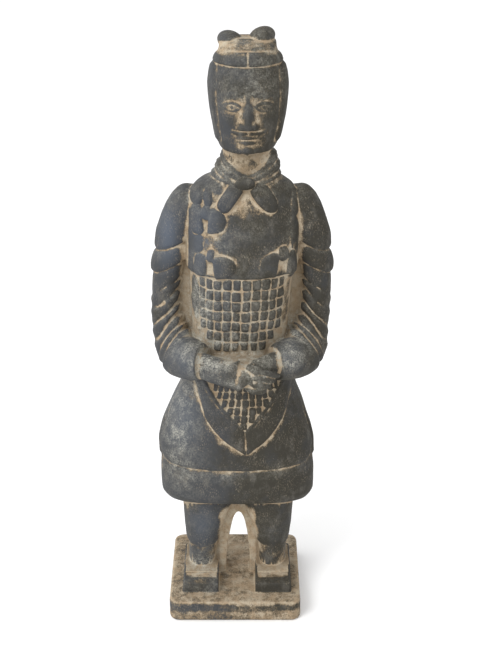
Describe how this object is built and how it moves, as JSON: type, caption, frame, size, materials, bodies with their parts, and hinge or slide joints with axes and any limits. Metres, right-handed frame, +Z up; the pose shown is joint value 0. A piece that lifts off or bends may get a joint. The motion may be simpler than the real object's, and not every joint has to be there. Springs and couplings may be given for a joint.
{
  "type": "terracotta warrior statue",
  "caption": "Standing armoured warrior figure moulded in one with its square plinth, hands folded at the waist; a shelf or garden ornament.",
  "frame": {"origin": "the middle of the plinth's underside, where the statue stands", "axes": "+Z up the figure, -Y the way the figure faces, +X to the figure's left hand"},
  "size_m": [0.1209, 0.1019, 0.3994],
  "materials": {
    "terracotta": "dark slip worn back to tan clay in the hollows, matt"
  },
  "bodies": {
    "root": {"warrior_statue": "terracotta"}
  },
  "joints": []
}
